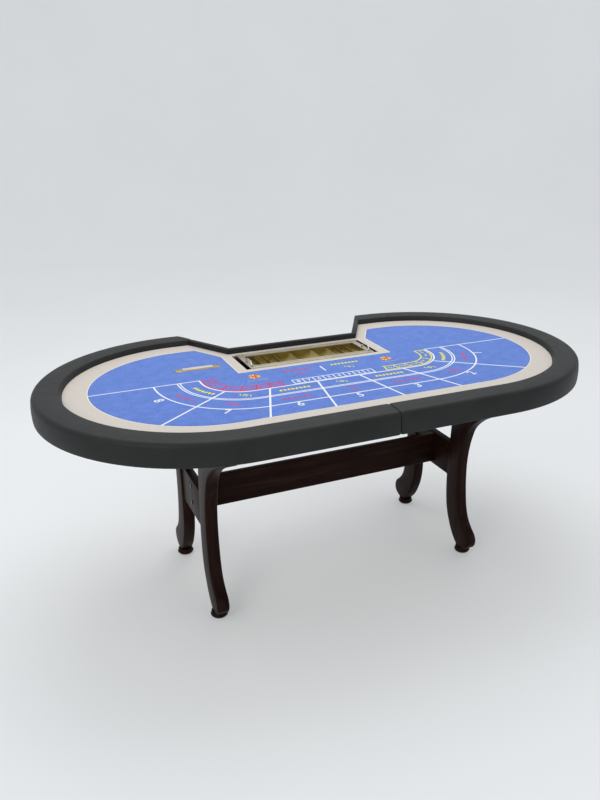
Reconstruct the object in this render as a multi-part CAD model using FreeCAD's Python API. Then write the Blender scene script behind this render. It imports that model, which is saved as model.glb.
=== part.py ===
import FreeCAD, Part
import math
import os

# Gaming table with a stadium-shaped top, a dealer's bay cut in its back edge, a padded armrest,
# a lift-out chip tray and a dark wooden trestle base.
# Millimetres. +Z up, +X along the table, -Y is the players' side. Origin on the floor, mid table.

V = FreeCAD.Vector

# ---- driving dimensions ----
LENGTH = 2116.0               # over the armrest, end to end
WIDTH = 1188.0                # over the armrest, front to back
PLAY_Z = 814.0                # playing surface above the floor
REST_TOP = 836.0              # top of the armrest
REST_BOTTOM = 755.0           # lower edge of the armrest
REST_WIDTH = 101.0            # armrest, outer side to inner foot
REST_LEAN = 8.0               # how far the inner wall leans back above the playing surface
BAND = 83.0                   # plain band between the cloth and the armrest
SEAM_X = 9.0                  # front joint of the two armrest halves

DECK_THICK = 24.0
SKIN = 4.0                    # cloth on its underlay, and the band's laminate
TRIM = 3.0                    # width of the inlaid line around the cloth

BAY_HALF = 275.0              # half the bay's width at its back rail
BAY_Y = 320.0                 # bay rail's outer face
BAY_ANGLE = 60.7              # slope of the bay's sides, degrees from +X
BAY_RAIL = 20.0               # thickness of the bay rails
BAY_BAND = 40.0               # band along the bay's sloping sides
SURROUND_HALF = 321.0         # plain surround of the tray, half width
SURROUND_Y = 57.0             # and its front edge

WELL_HALF = 281.0             # opening for the tray
WELL_Y = (83.0, 273.0)
WELL_FLOOR = 760.0
WELL_WALL = 8.0
WELL_LINING = 2.0

TRAY_HALF = 263.0             # tray flange
TRAY_GAP = 1.0                # flange to opening, front and back
TRAY_TOP = 816.0
FLANGE = 4.0
POCKET_Y = (113.0, 243.0)     # inside of the tray
RIDGE_Z = 808.0               # tops of the ridges between the troughs
TROUGH_DEPTH = 20.0
TRAY_WALL = 4.0
TRAY_BASE = 783.0
NARROW, MEDIUM, WIDE = 40.6, 70.0, 95.0
RIDGE = 2.0

BAIL_X = 252.0                # hinge line of each wire handle
BAIL_Z = 820.5
BAIL_WIRE = 2.0               # radius of the wire
BAIL_REACH = 13.0             # hinge line to the bar of an upright bail
BAIL_Y = (107.0, 168.0)
PIN_LENGTH = 6.0
LUG = (9.0, 4.0, 8.5)
RUN_CLEAR = 0.08
REST_GAP = 0.25               # air left under a piece that lifts off its seat

SLOT_X, SLOT_Y = -446.0, 174.0
SLOT_PLATE = (172.0, 33.0, 1.5)   # length, width and how far it stands above the cloth
SLOT = (108.0, 6.0)
CHUTE_WALL = 2.0
CHUTE_BOTTOM = 700.0
PADDLE_HEAD = (118.0, 24.0, 3.0)
PADDLE_BLADE = (102.0, 3.0, 88.0)

FRAME_X = 528.0               # end frames, from mid table
FOOT_Y = 238.0
LEG_THICK = 46.0
LEG_BASE = 24.0
TOP_RAIL = (50.0, 880.0, 40.0)
CROSS_THICK, CROSS_Z = 32.0, (306.0, 450.0)
STRETCHER_THICK, STRETCHER_Z = 24.0, (320.0, 448.0)
FOOT_RADIUS, GLIDE_RADIUS, GLIDE = 32.0, 25.0, 3.0
BATTEN_WIDE, BATTEN_TALL = 45.0, 33.0
BATTEN_Y = {"front": -300.0, "middle": 20.0}

# ---- sizes that follow ----
OUTER_R = WIDTH / 2
END_X = LENGTH / 2 - OUTER_R
INNER_R = OUTER_R - REST_WIDTH
CLOTH_R = INNER_R - BAND
DECK_TOP = PLAY_Z - SKIN
DECK_BOTTOM = DECK_TOP - DECK_THICK
SIDES = {"left": -1, "right": 1}
ENDS = {"front": -1, "back": 1}


# ---- helpers ----
def box(x, y, z):
    """A block from (low, high) pairs."""
    corner = V(x[0], y[0], z[0])
    return Part.makeBox(x[1] - x[0], y[1] - y[0], z[1] - z[0], corner)


def centred(size, x, y, z_low):
    """A block of the given size, centred on x and y, standing on z_low."""
    return Part.makeBox(size[0], size[1], size[2], V(x - size[0] / 2, y - size[1] / 2, z_low))


def rod(radius, start, end):
    along = end.sub(start)
    return Part.makeCylinder(radius, along.Length, start, along)


def prism(points, z):
    """A flat outline of (x, y) points, from z low to z high."""
    corners = [V(x, y, z[0]) for x, y in points]
    face = Part.Face(Part.makePolygon(corners + corners[:1]))
    return face.extrude(V(0, 0, z[1] - z[0]))


def merged(shapes):
    first = shapes[0]
    return first.fuse(shapes[1:]).removeSplitter() if len(shapes) > 1 else first


def mirrored(shape, side):
    """The shape itself on the side it was drawn for (+1), or its mirror image across X = 0."""
    return shape if side > 0 else shape.mirror(V(0, 0, 0), V(1, 0, 0))


def save(name, shape):
    shape.exportStep("parts/" + name + ".step")


def stadium(radius, z):
    """Solid with straight long sides and half-round ends about the two end centres."""
    tall = z[1] - z[0]
    middle = box((-END_X, END_X), (-radius, radius), z)
    ends = [Part.makeCylinder(radius, tall, V(s * END_X, 0, z[0])) for s in (-1, 1)]
    return merged([middle] + ends)


def bay(inset, z):
    """The bay's space, grown into the table by inset."""
    slope = math.radians(BAY_ANGLE)
    y0 = BAY_Y - inset
    side = inset * (1 - math.cos(slope)) / math.sin(slope)
    x0 = BAY_HALF + side
    y1 = OUTER_R + 100
    x1 = x0 + (y1 - y0) / math.tan(slope)
    return prism([(-x0, y0), (x0, y0), (x1, y1), (-x1, y1)], z)


def cloth_area(grow, z):
    """The cloth's outline, larger all round by grow."""
    shape = stadium(CLOTH_R + grow, z)
    shape = shape.cut(bay(BAY_RAIL + BAY_BAND - grow, z))
    half = SURROUND_HALF - grow
    return shape.cut(box((-half, half), (SURROUND_Y + grow, OUTER_R), z))


def wire_handle(points, radius, bend):
    """Round wire along a flat path whose inner corners are rounded by bend."""
    edges, start = [], points[0]
    for before, corner, after in zip(points, points[1:], points[2:]):
        back = before.sub(corner).normalize()
        ahead = after.sub(corner).normalize()
        half = back.getAngle(ahead) / 2
        reach = bend / math.tan(half)
        enter, leave = corner.add(back * reach), corner.add(ahead * reach)
        middle_line = back.add(ahead).normalize()
        middle = corner.add(middle_line * (bend / math.sin(half) - bend))
        edges += [Part.makeLine(start, enter), Part.Arc(enter, middle, leave).toShape()]
        start = leave
    edges.append(Part.makeLine(start, points[-1]))
    path = Part.Wire(edges)
    disc = Part.Wire(Part.makeCircle(radius, points[0], points[1].sub(points[0])))
    return path.makePipeShell([disc], True, True)


# ---- top ----
def slot_hole(z, grow=0.0):
    return centred((SLOT[0] + 2 * grow, SLOT[1] + 2 * grow, z[1] - z[0]), SLOT_X, SLOT_Y, z[0])


def well_space(z, grow=0.0):
    return box((-WELL_HALF - grow, WELL_HALF + grow), (WELL_Y[0] - grow, WELL_Y[1] + grow), z)


def rest_bolt_places():
    """Bolts through the armrest's lip, spread around each half of the table."""
    radius = INNER_R - 22
    places = []
    for side in (-1, 1):
        places += [(side * x, -radius) for x in (90.0, 270.0, 440.0)]
        for turn in (-60.0, -20.0, 20.0, 60.0):
            a = math.radians(turn)
            places.append((side * (END_X + radius * math.cos(a)), radius * math.sin(a)))
        places.append((side * (END_X - 10), radius))
    return places


def rail_bolt_places():
    return [(side * FRAME_X, y) for side in (-1, 1) for y in (-180.0, -60.0, 60.0, 180.0)]


BOLT_R, BOLT_HEAD_R, BOLT_HEAD, BOLT_BITE = 4.0, 7.5, 5.0, 16.0


def bolts(places, seat_z):
    """Hexagon bolts that point up from seat_z into the deck."""
    solids = []
    for x, y in places:
        shank = Part.makeCylinder(BOLT_R, DECK_BOTTOM + BOLT_BITE - seat_z, V(x, y, seat_z))
        corners = [(x + BOLT_HEAD_R * math.cos(k * math.pi / 3),
                    y + BOLT_HEAD_R * math.sin(k * math.pi / 3)) for k in range(6)]
        solids.append(prism(corners, (seat_z - BOLT_HEAD, seat_z)).fuse(shank).removeSplitter())
    return Part.makeCompound(solids)


def bolt_holes(places, z):
    return Part.makeCompound([Part.makeCylinder(BOLT_R, z[1] - z[0], V(x, y, z[0])) for x, y in places])


def deck_board():
    z = (DECK_BOTTOM, DECK_TOP)
    board = stadium(INNER_R, z).cut(bay(BAY_RAIL, z)).cut(well_space(z))
    board = board.cut(slot_hole(z, CHUTE_WALL)).cut(slot_screws())
    drill = (DECK_BOTTOM, DECK_BOTTOM + BOLT_BITE)
    return board.cut(bolt_holes(rest_bolt_places() + rail_bolt_places(), drill))


def band_panel():
    z = (DECK_TOP, PLAY_Z)
    panel = stadium(INNER_R, z).cut(bay(BAY_RAIL, z)).cut(well_space(z))
    return panel.cut(cloth_area(TRIM / 2, z))


def cloth_trim():
    z = (DECK_TOP, PLAY_Z + 0.4)
    return cloth_area(TRIM / 2, z).cut(cloth_area(-TRIM / 2, z))


def cloth():
    z = (DECK_TOP, PLAY_Z)
    return cloth_area(-TRIM / 2, z).cut(plate_blank(z))


# ---- armrest ----
CORE = {"inner": INNER_R + 4, "outer": OUTER_R - 20, "top": REST_TOP - 22, "bottom": REST_BOTTOM + 3}
LIP = {"reach": INNER_R - 43, "bottom": DECK_BOTTOM - 24}


def pad_section():
    """Leather and foam around the core, as (radius, z) on a plane through the ring's axis."""
    round_out, round_in, round_low = 18.0, 5.0, 5.0
    c45 = 1 - math.sqrt(0.5)
    lean = V(REST_LEAN, 0, REST_TOP - PLAY_Z).normalize()
    top_in = V(INNER_R + REST_LEAN, 0, REST_TOP)
    enter = top_in.sub(lean * round_in)
    leave = V(top_in.x + round_in, 0, REST_TOP)
    mid = top_in.add(V(1.35, 0, -1.1))
    out_top = [V(OUTER_R - round_out, 0, REST_TOP),
               V(OUTER_R - round_out * c45, 0, REST_TOP - round_out * c45),
               V(OUTER_R, 0, REST_TOP - round_out)]
    out_low = [V(OUTER_R, 0, REST_BOTTOM + round_low),
               V(OUTER_R - round_low * c45, 0, REST_BOTTOM + round_low * c45),
               V(OUTER_R - round_low, 0, REST_BOTTOM)]
    wrap = CORE["outer"] - 26
    rest = [V(wrap, 0, REST_BOTTOM), V(wrap, 0, CORE["bottom"]),
            V(CORE["outer"], 0, CORE["bottom"]), V(CORE["outer"], 0, CORE["top"]),
            V(CORE["inner"], 0, CORE["top"]), V(CORE["inner"], 0, DECK_BOTTOM),
            V(INNER_R, 0, DECK_BOTTOM), V(INNER_R, 0, PLAY_Z), enter]
    edges = [Part.Arc(enter, mid, leave).toShape(), Part.makeLine(leave, out_top[0]),
             Part.Arc(*out_top).toShape(), Part.makeLine(out_top[2], out_low[0]),
             Part.Arc(*out_low).toShape(), Part.makeLine(out_low[2], rest[0])]
    edges += [Part.makeLine(a, b) for a, b in zip(rest, rest[1:])]
    return Part.Face(Part.Wire(edges))


def core_section():
    """Wooden core with the lip that bolts up under the deck."""
    points = [(CORE["inner"], CORE["top"]), (CORE["outer"], CORE["top"]),
              (CORE["outer"], CORE["bottom"]), (CORE["inner"], CORE["bottom"]),
              (CORE["inner"], LIP["bottom"]), (LIP["reach"], LIP["bottom"]),
              (LIP["reach"], DECK_BOTTOM), (CORE["inner"], DECK_BOTTOM)]
    corners = [V(r, 0, z) for r, z in points]
    return Part.Face(Part.makePolygon(corners + corners[:1]))


def half_ring(section, gap):
    """The section run from the front joint, round the right end, to the bay's side."""
    across = section.copy()
    across.rotate(V(0, 0, 0), V(0, 0, 1), -90)
    front = across.copy()
    front.translate(V(SEAM_X + gap, 0, 0))
    front = front.extrude(V(END_X - SEAM_X - gap, 0, 0))
    end = across.copy()
    end.translate(V(END_X, 0, 0))
    end = end.revolve(V(END_X, 0, 0), V(0, 0, 1), 180)
    back = section.copy()
    back.rotate(V(0, 0, 0), V(0, 0, 1), 90)
    back.translate(V(END_X, 0, 0))
    back = back.extrude(V(-200, 0, 0))
    ring = merged([front, end, back])
    return ring.cut(bay(0, (REST_BOTTOM - 50, REST_TOP + 50)))


def opposite_half(section, gap):
    """The left half, whose front joint is at the same place."""
    half = mirrored(half_ring(section, gap), -1)
    reach = box((-SEAM_X - gap - 1, SEAM_X - gap), (-OUTER_R - 1, 0), (0, REST_TOP + 1))
    strip = section.copy()
    strip.rotate(V(0, 0, 0), V(0, 0, 1), -90)
    strip.translate(V(-SEAM_X - gap, 0, 0))
    strip = strip.extrude(V(2 * SEAM_X, 0, 0))
    return merged([half, strip.common(reach)])


def rest_core(section, side):
    half = half_ring(section, 0) if side > 0 else opposite_half(section, 0)
    half = half.cut(bay(BAY_RAIL, (REST_BOTTOM - 50, REST_TOP + 50)))
    return half.cut(bolt_holes(rest_bolt_places(), (LIP["bottom"], DECK_BOTTOM)))


def rest_pad(side):
    section = pad_section()
    half = half_ring(section, 0.2) if side > 0 else opposite_half(section, 0.2)
    wall = Part.makeBox(240, 120, CORE["top"] - CORE["bottom"], V(250, CORE["inner"], CORE["bottom"]))
    wall = wall.common(Part.makeBox(240, CORE["outer"] - CORE["inner"], 200,
                                    V(250, CORE["inner"], CORE["bottom"])))
    z = (REST_BOTTOM - 50, REST_TOP + 50)
    wall = wall.common(bay(BAY_RAIL, z)).cut(bay(0, z))
    return merged([half, mirrored(wall, side)])


# ---- bay rails ----
def bay_rail(part):
    """Upright board, round on top, one of the three around the bay."""
    z = (REST_BOTTOM, REST_TOP)
    ring = bay(BAY_RAIL, z).cut(bay(0, z))
    slope = math.radians(BAY_ANGLE)
    mitre = (math.pi - slope) / 2
    run = 120.0
    corner_out = (BAY_HALF, BAY_Y)
    dx, dy = math.cos(math.pi - mitre), math.sin(math.pi - mitre)
    a = (corner_out[0] + dx * run, corner_out[1] + dy * run)
    b = (corner_out[0] - dx * run, corner_out[1] - dy * run)
    if part == "back":
        wedge = prism([(-b[0], b[1]), b, a, (-a[0], a[1])], z)
        rail = ring.common(wedge)
    else:
        wedge = prism([b, (900, b[1]), (900, 900), (a[0], 900), a], z)
        rail = mirrored(ring.common(wedge).cut(half_ring(pad_section(), 0)), SIDES[part])
        rail = rail.cut(mirrored(half_ring(core_section(), 0), SIDES[part]))
        rail = max(rail.Solids, key=lambda s: s.Volume)
    top_edges = [e for e in rail.Edges
                 if e.BoundBox.ZMin > REST_TOP - 0.01 and e.Length > 150]
    return rail.makeFillet(5.0, top_edges)


# ---- chip tray ----
def trough_widths():
    return [NARROW] * 3 + [MEDIUM, WIDE, MEDIUM] + [NARROW] * 3


def tray_pocket(z):
    half = sum(trough_widths()) / 2
    return box((-half, half), POCKET_Y, z)


def tray_rim():
    """Flat flange around the troughs, with eased edges."""
    z = (TRAY_TOP - FLANGE + REST_GAP, TRAY_TOP)
    rim = box((-TRAY_HALF, TRAY_HALF), (WELL_Y[0] + TRAY_GAP, WELL_Y[1] - TRAY_GAP), z)
    rim = rim.cut(tray_pocket(z))
    return rim.makeFillet(1.2, [e for e in rim.Edges if e.BoundBox.ZMin > TRAY_TOP - 0.01])


def tray_troughs():
    """Row of troughs that hold chips on edge."""
    half, y = sum(trough_widths()) / 2, POCKET_Y
    top = TRAY_TOP - FLANGE + REST_GAP
    tray = box((-half - TRAY_WALL, half + TRAY_WALL), (y[0] - TRAY_WALL, y[1] + TRAY_WALL),
               (TRAY_BASE, top))
    tray = tray.cut(tray_pocket((RIDGE_Z, top)))
    x = -half
    for width in trough_widths():
        chord = width / 2 - RIDGE / 2
        radius = (chord ** 2 + TROUGH_DEPTH ** 2) / (2 * TROUGH_DEPTH)
        centre = V(x + width / 2, y[0], RIDGE_Z - TROUGH_DEPTH + radius)
        trough = Part.makeCylinder(radius, y[1] - y[0], centre, V(0, 1, 0))
        tray = tray.cut(trough.common(box((x, x + width), y, (TRAY_BASE, RIDGE_Z))))
        x += width
    return tray


def tray_lugs():
    solids = []
    for side in (-1, 1):
        for y, outward in ((BAIL_Y[0], -1), (BAIL_Y[1], 1)):
            middle = y + outward * (0.4 + LUG[1] / 2)
            lug = centred(LUG, side * BAIL_X, middle, TRAY_TOP)
            pin = rod(BAIL_WIRE + RUN_CLEAR - 0.5, V(side * BAIL_X, middle - LUG[1], BAIL_Z),
                      V(side * BAIL_X, middle + LUG[1], BAIL_Z))
            solids.append(lug.cut(pin))
    return Part.makeCompound(solids)


def tray_bail(side):
    """Wire bail, drawn upright as it stands in use."""
    x, top, shoulder = side * BAIL_X, BAIL_Z + BAIL_REACH, 9.0
    points = [V(x, BAIL_Y[0] + BAIL_WIRE, BAIL_Z), V(x, BAIL_Y[0] + shoulder, top),
              V(x, BAIL_Y[1] - shoulder, top), V(x, BAIL_Y[1] - BAIL_WIRE, BAIL_Z)]
    wire = wire_handle(points, BAIL_WIRE, 8.0)
    ends = []
    for y, outward in ((BAIL_Y[0], -1), (BAIL_Y[1], 1)):
        inner = y - outward * BAIL_WIRE
        ends.append(Part.makeSphere(BAIL_WIRE, V(x, inner, BAIL_Z)))
        ends.append(rod(BAIL_WIRE - 0.5, V(x, inner, BAIL_Z), V(x, y + outward * PIN_LENGTH, BAIL_Z)))
    return merged([wire] + ends)


def tray_ledge(end):
    """Steel angle along the well's front or back wall, under the tray's flange."""
    y_wall = WELL_Y[0] if end < 0 else WELL_Y[1]
    inward = -end
    top = TRAY_TOP - FLANGE
    seat = sorted((y_wall, y_wall + inward * 13.0))
    leg = sorted((y_wall, y_wall + inward * 2.0))
    x = (-TRAY_HALF, TRAY_HALF)
    return merged([box(x, seat, (top - 2.0, top)), box(x, leg, (DECK_BOTTOM + 4, top - 2.0))])


def tray_well():
    """Box under the deck, with thin linings that run up both ends of the opening."""
    z = (WELL_FLOOR - WELL_WALL, DECK_BOTTOM)
    well = well_space(z, WELL_WALL).cut(well_space((WELL_FLOOR, DECK_BOTTOM + 1)))
    lined = (WELL_FLOOR, PLAY_Z - 0.5)
    inner = WELL_HALF - WELL_LINING
    ends = [box((inner, WELL_HALF), WELL_Y, lined), box((-WELL_HALF, -inner), WELL_Y, lined)]
    return merged([well] + ends)


# ---- drop slot ----
PLATE_TOP = PLAY_Z + SLOT_PLATE[2]
SCREW_R, SCREW_HEAD_R, SCREW_HEAD, SCREW_BITE = 1.6, 3.6, 2.0, 12.0


def plate_blank(z):
    """The slot plate's outline. The plate is let into the cloth and rests on the deck board."""
    blank = centred((SLOT_PLATE[0], SLOT_PLATE[1], z[1] - z[0]), SLOT_X, SLOT_Y, z[0])
    upright = [e for e in blank.Edges if e.BoundBox.ZLength > 1]
    return blank.makeFillet(4.0, upright)


def slot_plate():
    plate = plate_blank((DECK_TOP, PLATE_TOP)).cut(slot_hole((DECK_TOP - 1, PLATE_TOP + 1)))
    return plate.cut(slot_screws())


def slot_screws():
    """Countersunk screws through the plate's ends into the deck."""
    solids = []
    for side, end in corners():
        x, y, z = SLOT_X + side * 73.0, SLOT_Y + end * 9.0, PLATE_TOP - SCREW_HEAD
        head = Part.makeCone(SCREW_R, SCREW_HEAD_R, SCREW_HEAD, V(x, y, z))
        low = DECK_TOP - SCREW_BITE
        shank = Part.makeCylinder(SCREW_R, z - low, V(x, y, low))
        solids.append(merged([head, shank]))
    return Part.makeCompound(solids)


def drop_chute():
    z = (CHUTE_BOTTOM, DECK_TOP)
    return slot_hole(z, CHUTE_WALL).cut(slot_hole((z[0] - 1, z[1] + 1)))


def drop_paddle():
    seat = PLATE_TOP + REST_GAP
    head = centred(PADDLE_HEAD, SLOT_X, SLOT_Y, seat)
    head = head.makeFillet(1.5, [e for e in head.Edges if e.BoundBox.ZMin > seat + 0.1])
    blade = centred(PADDLE_BLADE, SLOT_X, SLOT_Y, seat - PADDLE_BLADE[2])
    return merged([head, blade])


# ---- base ----
LEG_OUTER = [(262, LEG_BASE), (289, 38), (302, 64), (296, 90), (267, 118), (243, 146), (227, 184),
             (215, 250), (209, 330), (211, 400), (220, 456), (234, 506), (256, 556), (296, 599),
             (352, 638), (480, 702)]
LEG_INNER = [(224, LEG_BASE), (203, 42), (181, 67), (158, 106), (140, 148), (130, 192), (125, 250),
             (124, 310), (128, 400), (134, 480), (142, 560), (160, 640), (196, 700)]
LEG_TOP = DECK_BOTTOM - TOP_RAIL[2]
LEG_TIP = 488.0


def curve(points):
    spline = Part.BSplineCurve()
    spline.interpolate([V(0, y, z) for y, z in points])
    return spline.toShape()


def leg_blank():
    """One scroll leg with its corbel, drawn for +Y on the plane X = 0 and cut from a thick board."""
    tip_low, top_in = V(0, LEG_TIP, LEG_OUTER[-1][1] + 6), V(0, LEG_INNER[-1][0] + 34, LEG_TOP)
    edges = [curve(LEG_OUTER), curve(LEG_INNER)]
    corners = [V(0, *LEG_OUTER[-1]), tip_low, V(0, LEG_TIP, LEG_TOP), top_in, V(0, *LEG_INNER[-1])]
    edges += [Part.makeLine(a, b) for a, b in zip(corners, corners[1:])]
    edges.append(Part.makeLine(V(0, *LEG_INNER[0]), V(0, *LEG_OUTER[0])))
    face = Part.Face(Part.Wire(Part.__sortEdges__(edges)))
    board = face.extrude(V(LEG_THICK, 0, 0))
    board.translate(V(-LEG_THICK / 2, 0, 0))
    return board


def leg(blank, side, end):
    shape = blank if end > 0 else blank.mirror(V(0, 0, 0), V(0, 1, 0))
    shape = shape.copy()
    shape.translate(V(side * FRAME_X, 0, 0))
    return shape.cut(foot_stud(side, end))


def foot_stud(side, end):
    return Part.makeCylinder(5.0, 50.0, V(side * FRAME_X, end * FOOT_Y, LEG_BASE - 12))


def foot(side, end):
    """Turned disc under a leg, with soft rims."""
    disc = Part.makeCylinder(FOOT_RADIUS, LEG_BASE - GLIDE, V(side * FRAME_X, end * FOOT_Y, GLIDE))
    low = [e for e in disc.Edges if e.BoundBox.ZMax < GLIDE + 0.01]
    high = [e for e in disc.Edges if e.BoundBox.ZMin > LEG_BASE - 0.01]
    return disc.makeFillet(6.0, low).makeFillet(2.5, high).cut(foot_stud(side, end))


def corners():
    return [(side, end) for side in (-1, 1) for end in (-1, 1)]


def glides():
    return Part.makeCompound([Part.makeCylinder(GLIDE_RADIUS, GLIDE, V(s * FRAME_X, e * FOOT_Y, 0))
                              for s, e in corners()])


def foot_studs():
    return Part.makeCompound([foot_stud(s, e) for s, e in corners()])


STRETCHER_BOLT_Z = (350.0, 418.0)
CROSS_BOLT_R, CROSS_BOLT_CAP, CROSS_BOLT_CAP_R, CROSS_BOLT_LONG = 3.5, 2.5, 9.0, 60.0
NUT_R, NUT_LONG = 6.0, 16.0


def cross_bolt(side, z):
    """Capped bolt through a cross board into the stretcher's end."""
    face_x = side * (FRAME_X + CROSS_THICK / 2)
    shank = rod(CROSS_BOLT_R, V(face_x, 0, z), V(face_x - side * CROSS_BOLT_LONG, 0, z))
    cap = rod(CROSS_BOLT_CAP_R, V(face_x, 0, z), V(face_x + side * CROSS_BOLT_CAP, 0, z))
    return merged([shank, cap])


def cross_bolts():
    return Part.makeCompound([cross_bolt(s, z) for s in (-1, 1) for z in STRETCHER_BOLT_Z])


def barrel_nuts():
    x = FRAME_X + CROSS_THICK / 2 - CROSS_BOLT_LONG + NUT_R
    solids = []
    for s in (-1, 1):
        for z in STRETCHER_BOLT_Z:
            nut = rod(NUT_R, V(s * x, -NUT_LONG / 2, z), V(s * x, NUT_LONG / 2, z))
            solids.append(nut.cut(cross_bolt(s, z)))
    return Part.makeCompound(solids)


def cross_board(side, legs):
    x = (side * FRAME_X - CROSS_THICK / 2, side * FRAME_X + CROSS_THICK / 2)
    board = box(x, (-170.0, 170.0), CROSS_Z)
    for blank in legs:
        board = board.cut(blank)
    return board.cut(cross_bolts())


def stretcher():
    half = FRAME_X - CROSS_THICK / 2
    board = box((-half, half), (-STRETCHER_THICK / 2, STRETCHER_THICK / 2), STRETCHER_Z)
    board = board.makeFillet(2.5, [e for e in board.Edges if e.BoundBox.XLength > 500])
    return board.cut(cross_bolts()).cut(barrel_nuts())


def top_rail(side):
    rail = centred(TOP_RAIL, side * FRAME_X, 0, DECK_BOTTOM - TOP_RAIL[2])
    return rail.cut(bolt_holes(rail_bolt_places(), (LEG_TOP, DECK_BOTTOM)))


def rail_bolts():
    return bolts(rail_bolt_places(), DECK_BOTTOM - TOP_RAIL[2])


def batten(y):
    """Stiffener along the deck, between the two top rails."""
    long = 2 * FRAME_X - TOP_RAIL[0]
    return centred((long, BATTEN_WIDE, BATTEN_TALL), 0, y, DECK_BOTTOM - BATTEN_TALL)


def leg_screws():
    """Screws down through each top rail into its two legs."""
    solids = []
    for side, end in corners():
        for y in (280.0, 420.0):
            solids.append(Part.makeCylinder(3.0, 60.0, V(side * FRAME_X, end * y, LEG_TOP - 30)))
    return Part.makeCompound(solids)


def build():
    os.makedirs("parts", exist_ok=True)
    save("deck_board", deck_board())
    save("band_panel", band_panel())
    save("cloth_trim", cloth_trim())
    save("cloth", cloth())
    for name, side in SIDES.items():
        save("armrest_core_" + name, rest_core(core_section(), side))
        save("armrest_pad_" + name, rest_pad(side))
        save("bay_rail_" + name, bay_rail(name))
    save("bay_rail_back", bay_rail("back"))
    save("armrest_bolts", bolts(rest_bolt_places(), LIP["bottom"]))

    save("tray_rim", tray_rim())
    save("tray_troughs", tray_troughs())
    save("tray_lugs", tray_lugs())
    for name, side in SIDES.items():
        save("tray_bail_" + name, tray_bail(side))
    for name, end in ENDS.items():
        save("tray_ledge_" + name, tray_ledge(end))
    save("tray_well", tray_well())

    save("slot_plate", slot_plate())
    save("slot_screws", slot_screws())
    save("drop_chute", drop_chute())
    save("drop_paddle", drop_paddle())

    screws = leg_screws()
    blank = leg_blank()
    for side_name, side in SIDES.items():
        pair = []
        for end_name, end in ENDS.items():
            shape = leg(blank, side, end)
            pair.append(shape)
            save("leg_" + end_name + "_" + side_name, shape.cut(screws))
            save("foot_" + end_name + "_" + side_name, foot(side, end))
        save("cross_board_" + side_name, cross_board(side, pair))
        save("top_rail_" + side_name, top_rail(side).cut(screws))
    save("leg_screws", screws)
    save("glides", glides())
    save("foot_studs", foot_studs())
    save("stretcher_board", stretcher())
    save("cross_bolts", cross_bolts())
    save("barrel_nuts", barrel_nuts())
    save("rail_bolts", rail_bolts())
    for name, y in BATTEN_Y.items():
        save("batten_" + name, batten(y))


build()
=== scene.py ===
import math

import bmesh
import bpy
from mathutils import Matrix, Vector


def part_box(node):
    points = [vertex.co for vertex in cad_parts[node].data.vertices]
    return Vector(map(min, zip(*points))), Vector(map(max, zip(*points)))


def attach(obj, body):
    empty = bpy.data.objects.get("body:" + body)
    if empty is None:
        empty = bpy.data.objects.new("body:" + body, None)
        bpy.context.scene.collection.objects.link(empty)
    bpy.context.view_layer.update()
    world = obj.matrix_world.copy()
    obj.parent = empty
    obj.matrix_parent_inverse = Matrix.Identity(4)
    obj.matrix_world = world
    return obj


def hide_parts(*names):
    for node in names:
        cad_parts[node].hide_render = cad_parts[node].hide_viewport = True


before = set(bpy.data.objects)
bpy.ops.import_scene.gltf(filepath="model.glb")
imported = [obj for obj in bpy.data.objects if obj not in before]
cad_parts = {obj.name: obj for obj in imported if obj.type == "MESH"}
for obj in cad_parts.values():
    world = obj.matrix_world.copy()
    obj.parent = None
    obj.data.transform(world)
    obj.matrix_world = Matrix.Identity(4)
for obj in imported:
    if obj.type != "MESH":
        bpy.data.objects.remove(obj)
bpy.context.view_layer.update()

# Gaming table: padded armrest, pale band, printed blue cloth, chip tray, drop slot and a dark
# wooden trestle. Metres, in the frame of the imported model.

END_X = 0.464                 # centres of the table's half-round ends
OUTER_R, INNER_R = 0.594, 0.493                  # armrest, outside and inside
CLOTH_R = 0.410
PLAY_Z = 0.814                # playing surface
REST_TOP, REST_LOW = 0.836, 0.755
DECK_LOW = 0.786
SEAM_X = 0.009                # front joint of the armrest's halves
BAY_X, BAY_Y, BAY_SLOPE = 0.275, 0.320, math.radians(60.7)
RAIL = 0.020                  # thickness of the rails round the bay
BAY_BAND = 0.040              # band along the bay's sides
SURROUND_HALF, SURROUND_FRONT = 0.321, 0.057     # plain surround of the tray
TRIM_HALF = 0.0015            # half the width of the inlaid line round the cloth


# ---------------------------------------------------------------- working on a piece
def nothing_selected():
    if bpy.context.object and bpy.context.object.mode != "OBJECT":
        bpy.ops.object.mode_set(mode="OBJECT")
    bpy.ops.object.select_all(action="DESELECT")


def only(piece):
    nothing_selected()
    piece.select_set(True)
    bpy.context.view_layer.objects.active = piece


def settle(scale=None):
    """Puts the new primitive's place, turn and size into its mesh and returns it."""
    if scale:
        bpy.context.object.scale = scale
    bpy.ops.object.transform_apply(location=True, rotation=True, scale=True)
    return bpy.context.object


def pick(kind, wanted):
    """Edit mode, with only the wanted vertices, edges or faces selected."""
    bpy.ops.object.mode_set(mode="EDIT")
    bpy.ops.mesh.select_mode(type=kind)
    bpy.ops.mesh.select_all(action="DESELECT")
    data = bpy.context.object.data
    shape = bmesh.from_edit_mesh(data)
    for part in {"VERT": shape.verts, "EDGE": shape.edges, "FACE": shape.faces}[kind]:
        part.select_set(bool(wanted(part)))
    shape.select_flush_mode()
    bmesh.update_edit_mesh(data)


def middle(part):
    """Middle of an edge or a face."""
    corners = [v.co for v in part.verts]
    return sum(corners, Vector()) / len(corners)


def along(edge, axis, share=0.99):
    run = edge.verts[1].co - edge.verts[0].co
    return run.length > 1e-6 and abs(run.normalized()[axis]) > share


def is_sharp(edge, degrees=40):
    return len(edge.link_faces) == 2 and edge.calc_face_angle(0) > math.radians(degrees)


def bevel(width, segments=2):
    bpy.ops.mesh.bevel(offset=width, offset_type="OFFSET", segments=segments, profile=0.5,
                       affect="EDGES", clamp_overlap=True)


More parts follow.
